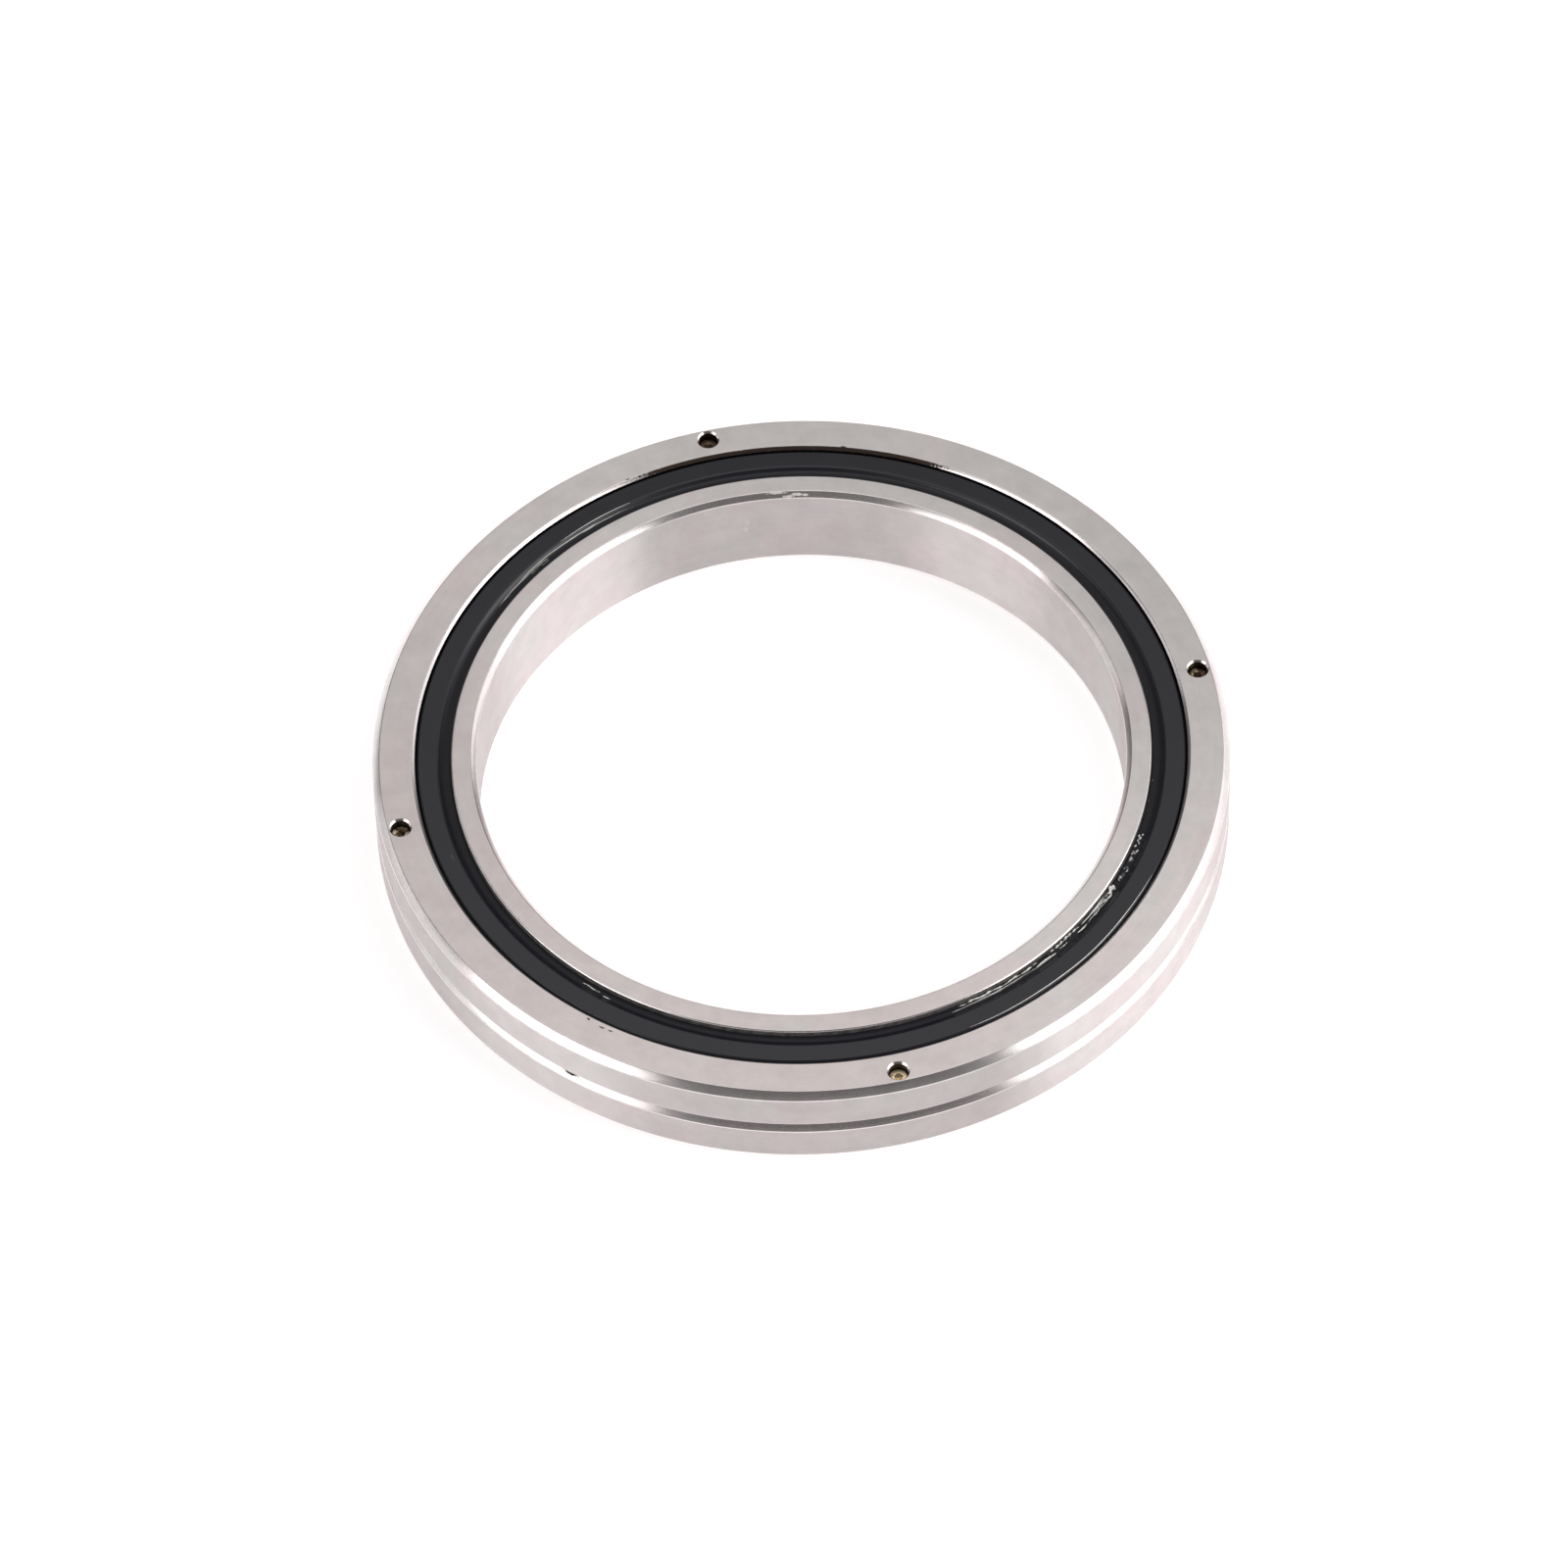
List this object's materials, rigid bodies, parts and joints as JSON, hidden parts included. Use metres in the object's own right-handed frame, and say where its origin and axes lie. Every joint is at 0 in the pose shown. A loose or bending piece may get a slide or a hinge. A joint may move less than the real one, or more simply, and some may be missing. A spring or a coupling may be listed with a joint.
{
  "type": "crossed roller bearing",
  "caption": "Thin-section crossed roller bearing with a split, riveted outer ring, a solid inner ring, caged crossed rollers and a rubber seal on each side.",
  "frame": {"origin": "centre of the bore, in the plane of the lower faces of both rings", "axes": "+Z along the bearing's axis to the upper faces; +X through the centre of roller_01, with rivet_1 at 12 degrees from +X towards +Y"},
  "size_m": [0.066, 0.066, 0.008],
  "materials": {
    "ring_steel": "fine ground, satin, with broken edges",
    "roller_steel": "polished",
    "seal_rubber": "moulded, satin, with a thin film of grease",
    "cage_polymer": "moulded, matte",
    "rivet_brass": "drawn, dull"
  },
  "bodies": {
    "outer_ring": {"outer_ring_upper": "ring_steel", "outer_ring_lower": "ring_steel", "upper_seal": "seal_rubber", "lower_seal": "seal_rubber", "rivet_1": "rivet_brass", "rivet_2": "rivet_brass", "rivet_3": "rivet_brass", "rivet_4": "rivet_brass"},
    "inner_ring": {"inner_ring": "ring_steel"},
    "cage": {"cage": "cage_polymer"},
    "roller_01": {"roller_01": "roller_steel"},
    "roller_02": {"roller_02": "roller_steel"},
    "roller_03": {"roller_03": "roller_steel"},
    "roller_04": {"roller_04": "roller_steel"},
    "roller_05": {"roller_05": "roller_steel"},
    "roller_06": {"roller_06": "roller_steel"},
    "roller_07": {"roller_07": "roller_steel"},
    "roller_08": {"roller_08": "roller_steel"},
    "roller_09": {"roller_09": "roller_steel"},
    "roller_10": {"roller_10": "roller_steel"},
    "roller_11": {"roller_11": "roller_steel"},
    "roller_12": {"roller_12": "roller_steel"},
    "roller_13": {"roller_13": "roller_steel"},
    "roller_14": {"roller_14": "roller_steel"},
    "roller_15": {"roller_15": "roller_steel"},
    "roller_16": {"roller_16": "roller_steel"},
    "roller_17": {"roller_17": "roller_steel"},
    "roller_18": {"roller_18": "roller_steel"},
    "roller_19": {"roller_19": "roller_steel"},
    "roller_20": {"roller_20": "roller_steel"},
    "roller_21": {"roller_21": "roller_steel"},
    "roller_22": {"roller_22": "roller_steel"},
    "roller_23": {"roller_23": "roller_steel"},
    "roller_24": {"roller_24": "roller_steel"},
    "roller_25": {"roller_25": "roller_steel"},
    "roller_26": {"roller_26": "roller_steel"},
    "roller_27": {"roller_27": "roller_steel"},
    "roller_28": {"roller_28": "roller_steel"},
    "roller_29": {"roller_29": "roller_steel"},
    "roller_30": {"roller_30": "roller_steel"},
    "roller_31": {"roller_31": "roller_steel"},
    "roller_32": {"roller_32": "roller_steel"},
    "roller_33": {"roller_33": "roller_steel"},
    "roller_34": {"roller_34": "roller_steel"},
    "roller_35": {"roller_35": "roller_steel"},
    "roller_36": {"roller_36": "roller_steel"},
    "roller_37": {"roller_37": "roller_steel"},
    "roller_38": {"roller_38": "roller_steel"},
    "roller_39": {"roller_39": "roller_steel"},
    "roller_40": {"roller_40": "roller_steel"}
  },
  "joints": [
    {"name": "inner_ring_spin", "type": "hinge", "parent": "outer_ring", "child": "inner_ring", "pos_m": [0, 0, 0.004], "axis": [0, 0, 1], "continuous": true},
    {"name": "cage_spin", "type": "hinge", "parent": "outer_ring", "child": "cage", "pos_m": [0, 0, 0.004], "axis": [0, 0, 1], "continuous": true},
    {"name": "roller_01_spin", "type": "hinge", "parent": "cage", "child": "roller_01", "pos_m": [0.02832, 0, 0.004], "axis": [0.7071, 0, 0.7071], "continuous": true},
    {"name": "roller_02_spin", "type": "hinge", "parent": "cage", "child": "roller_02", "pos_m": [0.02798, 0.00443, 0.004], "axis": [-0.6984, -0.1106, 0.7071], "continuous": true},
    {"name": "roller_03_spin", "type": "hinge", "parent": "cage", "child": "roller_03", "pos_m": [0.02694, 0.00875, 0.004], "axis": [0.6725, 0.2185, 0.7071], "continuous": true},
    {"name": "roller_04_spin", "type": "hinge", "parent": "cage", "child": "roller_04", "pos_m": [0.02524, 0.01286, 0.004], "axis": [-0.63, -0.321, 0.7071], "continuous": true},
    {"name": "roller_05_spin", "type": "hinge", "parent": "cage", "child": "roller_05", "pos_m": [0.02292, 0.01665, 0.004], "axis": [0.5721, 0.4156, 0.7071], "continuous": true},
    {"name": "roller_06_spin", "type": "hinge", "parent": "cage", "child": "roller_06", "pos_m": [0.02003, 0.02003, 0.004], "axis": [-0.5, -0.5, 0.7071], "continuous": true},
    {"name": "roller_07_spin", "type": "hinge", "parent": "cage", "child": "roller_07", "pos_m": [0.01665, 0.02292, 0.004], "axis": [0.4156, 0.5721, 0.7071], "continuous": true},
    {"name": "roller_08_spin", "type": "hinge", "parent": "cage", "child": "roller_08", "pos_m": [0.01286, 0.02524, 0.004], "axis": [-0.321, -0.63, 0.7071], "continuous": true},
    {"name": "roller_09_spin", "type": "hinge", "parent": "cage", "child": "roller_09", "pos_m": [0.00875, 0.02694, 0.004], "axis": [0.2185, 0.6725, 0.7071], "continuous": true},
    {"name": "roller_10_spin", "type": "hinge", "parent": "cage", "child": "roller_10", "pos_m": [0.00443, 0.02798, 0.004], "axis": [-0.1106, -0.6984, 0.7071], "continuous": true},
    {"name": "roller_11_spin", "type": "hinge", "parent": "cage", "child": "roller_11", "pos_m": [0, 0.02832, 0.004], "axis": [0, 0.7071, 0.7071], "continuous": true},
    {"name": "roller_12_spin", "type": "hinge", "parent": "cage", "child": "roller_12", "pos_m": [-0.00443, 0.02798, 0.004], "axis": [0.1106, -0.6984, 0.7071], "continuous": true},
    {"name": "roller_13_spin", "type": "hinge", "parent": "cage", "child": "roller_13", "pos_m": [-0.00875, 0.02694, 0.004], "axis": [-0.2185, 0.6725, 0.7071], "continuous": true},
    {"name": "roller_14_spin", "type": "hinge", "parent": "cage", "child": "roller_14", "pos_m": [-0.01286, 0.02524, 0.004], "axis": [0.321, -0.63, 0.7071], "continuous": true},
    {"name": "roller_15_spin", "type": "hinge", "parent": "cage", "child": "roller_15", "pos_m": [-0.01665, 0.02292, 0.004], "axis": [-0.4156, 0.5721, 0.7071], "continuous": true},
    {"name": "roller_16_spin", "type": "hinge", "parent": "cage", "child": "roller_16", "pos_m": [-0.02003, 0.02003, 0.004], "axis": [0.5, -0.5, 0.7071], "continuous": true},
    {"name": "roller_17_spin", "type": "hinge", "parent": "cage", "child": "roller_17", "pos_m": [-0.02292, 0.01665, 0.004], "axis": [-0.5721, 0.4156, 0.7071], "continuous": true},
    {"name": "roller_18_spin", "type": "hinge", "parent": "cage", "child": "roller_18", "pos_m": [-0.02524, 0.01286, 0.004], "axis": [0.63, -0.321, 0.7071], "continuous": true},
    {"name": "roller_19_spin", "type": "hinge", "parent": "cage", "child": "roller_19", "pos_m": [-0.02694, 0.00875, 0.004], "axis": [-0.6725, 0.2185, 0.7071], "continuous": true},
    {"name": "roller_20_spin", "type": "hinge", "parent": "cage", "child": "roller_20", "pos_m": [-0.02798, 0.00443, 0.004], "axis": [0.6984, -0.1106, 0.7071], "continuous": true},
    {"name": "roller_21_spin", "type": "hinge", "parent": "cage", "child": "roller_21", "pos_m": [-0.02832, 0, 0.004], "axis": [-0.7071, 0, 0.7071], "continuous": true},
    {"name": "roller_22_spin", "type": "hinge", "parent": "cage", "child": "roller_22", "pos_m": [-0.02798, -0.00443, 0.004], "axis": [0.6984, 0.1106, 0.7071], "continuous": true},
    {"name": "roller_23_spin", "type": "hinge", "parent": "cage", "child": "roller_23", "pos_m": [-0.02694, -0.00875, 0.004], "axis": [-0.6725, -0.2185, 0.7071], "continuous": true},
    {"name": "roller_24_spin", "type": "hinge", "parent": "cage", "child": "roller_24", "pos_m": [-0.02524, -0.01286, 0.004], "axis": [0.63, 0.321, 0.7071], "continuous": true},
    {"name": "roller_25_spin", "type": "hinge", "parent": "cage", "child": "roller_25", "pos_m": [-0.02292, -0.01665, 0.004], "axis": [-0.5721, -0.4156, 0.7071], "continuous": true},
    {"name": "roller_26_spin", "type": "hinge", "parent": "cage", "child": "roller_26", "pos_m": [-0.02003, -0.02003, 0.004], "axis": [0.5, 0.5, 0.7071], "continuous": true},
    {"name": "roller_27_spin", "type": "hinge", "parent": "cage", "child": "roller_27", "pos_m": [-0.01665, -0.02292, 0.004], "axis": [-0.4156, -0.5721, 0.7071], "continuous": true},
    {"name": "roller_28_spin", "type": "hinge", "parent": "cage", "child": "roller_28", "pos_m": [-0.01286, -0.02524, 0.004], "axis": [0.321, 0.63, 0.7071], "continuous": true},
    {"name": "roller_29_spin", "type": "hinge", "parent": "cage", "child": "roller_29", "pos_m": [-0.00875, -0.02694, 0.004], "axis": [-0.2185, -0.6725, 0.7071], "continuous": true},
    {"name": "roller_30_spin", "type": "hinge", "parent": "cage", "child": "roller_30", "pos_m": [-0.00443, -0.02798, 0.004], "axis": [0.1106, 0.6984, 0.7071], "continuous": true},
    {"name": "roller_31_spin", "type": "hinge", "parent": "cage", "child": "roller_31", "pos_m": [0, -0.02832, 0.004], "axis": [0, -0.7071, 0.7071], "continuous": true},
    {"name": "roller_32_spin", "type": "hinge", "parent": "cage", "child": "roller_32", "pos_m": [0.00443, -0.02798, 0.004], "axis": [-0.1106, 0.6984, 0.7071], "continuous": true},
    {"name": "roller_33_spin", "type": "hinge", "parent": "cage", "child": "roller_33", "pos_m": [0.00875, -0.02694, 0.004], "axis": [0.2185, -0.6725, 0.7071], "continuous": true},
    {"name": "roller_34_spin", "type": "hinge", "parent": "cage", "child": "roller_34", "pos_m": [0.01286, -0.02524, 0.004], "axis": [-0.321, 0.63, 0.7071], "continuous": true},
    {"name": "roller_35_spin", "type": "hinge", "parent": "cage", "child": "roller_35", "pos_m": [0.01665, -0.02292, 0.004], "axis": [0.4156, -0.5721, 0.7071], "continuous": true},
    {"name": "roller_36_spin", "type": "hinge", "parent": "cage", "child": "roller_36", "pos_m": [0.02003, -0.02003, 0.004], "axis": [-0.5, 0.5, 0.7071], "continuous": true},
    {"name": "roller_37_spin", "type": "hinge", "parent": "cage", "child": "roller_37", "pos_m": [0.02292, -0.01665, 0.004], "axis": [0.5721, -0.4156, 0.7071], "continuous": true},
    {"name": "roller_38_spin", "type": "hinge", "parent": "cage", "child": "roller_38", "pos_m": [0.02524, -0.01286, 0.004], "axis": [-0.63, 0.321, 0.7071], "continuous": true},
    {"name": "roller_39_spin", "type": "hinge", "parent": "cage", "child": "roller_39", "pos_m": [0.02694, -0.00875, 0.004], "axis": [0.6725, -0.2185, 0.7071], "continuous": true},
    {"name": "roller_40_spin", "type": "hinge", "parent": "cage", "child": "roller_40", "pos_m": [0.02798, -0.00443, 0.004], "axis": [-0.6984, 0.1106, 0.7071], "continuous": true}
  ],
  "couplings": [
    {"joint": "cage_spin", "follows": "inner_ring_spin", "ratio": 0.48128},
    {"joint": "roller_01_spin", "follows": "inner_ring_spin", "ratio": -9.4284},
    {"joint": "roller_02_spin", "follows": "inner_ring_spin", "ratio": -9.4284},
    {"joint": "roller_03_spin", "follows": "inner_ring_spin", "ratio": -9.4284},
    {"joint": "roller_04_spin", "follows": "inner_ring_spin", "ratio": -9.4284},
    {"joint": "roller_05_spin", "follows": "inner_ring_spin", "ratio": -9.4284},
    {"joint": "roller_06_spin", "follows": "inner_ring_spin", "ratio": -9.4284},
    {"joint": "roller_07_spin", "follows": "inner_ring_spin", "ratio": -9.4284},
    {"joint": "roller_08_spin", "follows": "inner_ring_spin", "ratio": -9.4284},
    {"joint": "roller_09_spin", "follows": "inner_ring_spin", "ratio": -9.4284},
    {"joint": "roller_10_spin", "follows": "inner_ring_spin", "ratio": -9.4284},
    {"joint": "roller_11_spin", "follows": "inner_ring_spin", "ratio": -9.4284},
    {"joint": "roller_12_spin", "follows": "inner_ring_spin", "ratio": -9.4284},
    {"joint": "roller_13_spin", "follows": "inner_ring_spin", "ratio": -9.4284},
    {"joint": "roller_14_spin", "follows": "inner_ring_spin", "ratio": -9.4284},
    {"joint": "roller_15_spin", "follows": "inner_ring_spin", "ratio": -9.4284},
    {"joint": "roller_16_spin", "follows": "inner_ring_spin", "ratio": -9.4284},
    {"joint": "roller_17_spin", "follows": "inner_ring_spin", "ratio": -9.4284},
    {"joint": "roller_18_spin", "follows": "inner_ring_spin", "ratio": -9.4284},
    {"joint": "roller_19_spin", "follows": "inner_ring_spin", "ratio": -9.4284},
    {"joint": "roller_20_spin", "follows": "inner_ring_spin", "ratio": -9.4284},
    {"joint": "roller_21_spin", "follows": "inner_ring_spin", "ratio": -9.4284},
    {"joint": "roller_22_spin", "follows": "inner_ring_spin", "ratio": -9.4284},
    {"joint": "roller_23_spin", "follows": "inner_ring_spin", "ratio": -9.4284},
    {"joint": "roller_24_spin", "follows": "inner_ring_spin", "ratio": -9.4284},
    {"joint": "roller_25_spin", "follows": "inner_ring_spin", "ratio": -9.4284},
    {"joint": "roller_26_spin", "follows": "inner_ring_spin", "ratio": -9.4284},
    {"joint": "roller_27_spin", "follows": "inner_ring_spin", "ratio": -9.4284},
    {"joint": "roller_28_spin", "follows": "inner_ring_spin", "ratio": -9.4284},
    {"joint": "roller_29_spin", "follows": "inner_ring_spin", "ratio": -9.4284},
    {"joint": "roller_30_spin", "follows": "inner_ring_spin", "ratio": -9.4284},
    {"joint": "roller_31_spin", "follows": "inner_ring_spin", "ratio": -9.4284},
    {"joint": "roller_32_spin", "follows": "inner_ring_spin", "ratio": -9.4284},
    {"joint": "roller_33_spin", "follows": "inner_ring_spin", "ratio": -9.4284},
    {"joint": "roller_34_spin", "follows": "inner_ring_spin", "ratio": -9.4284},
    {"joint": "roller_35_spin", "follows": "inner_ring_spin", "ratio": -9.4284},
    {"joint": "roller_36_spin", "follows": "inner_ring_spin", "ratio": -9.4284},
    {"joint": "roller_37_spin", "follows": "inner_ring_spin", "ratio": -9.4284},
    {"joint": "roller_38_spin", "follows": "inner_ring_spin", "ratio": -9.4284},
    {"joint": "roller_39_spin", "follows": "inner_ring_spin", "ratio": -9.4284},
    {"joint": "roller_40_spin", "follows": "inner_ring_spin", "ratio": -9.4284}
  ]
}
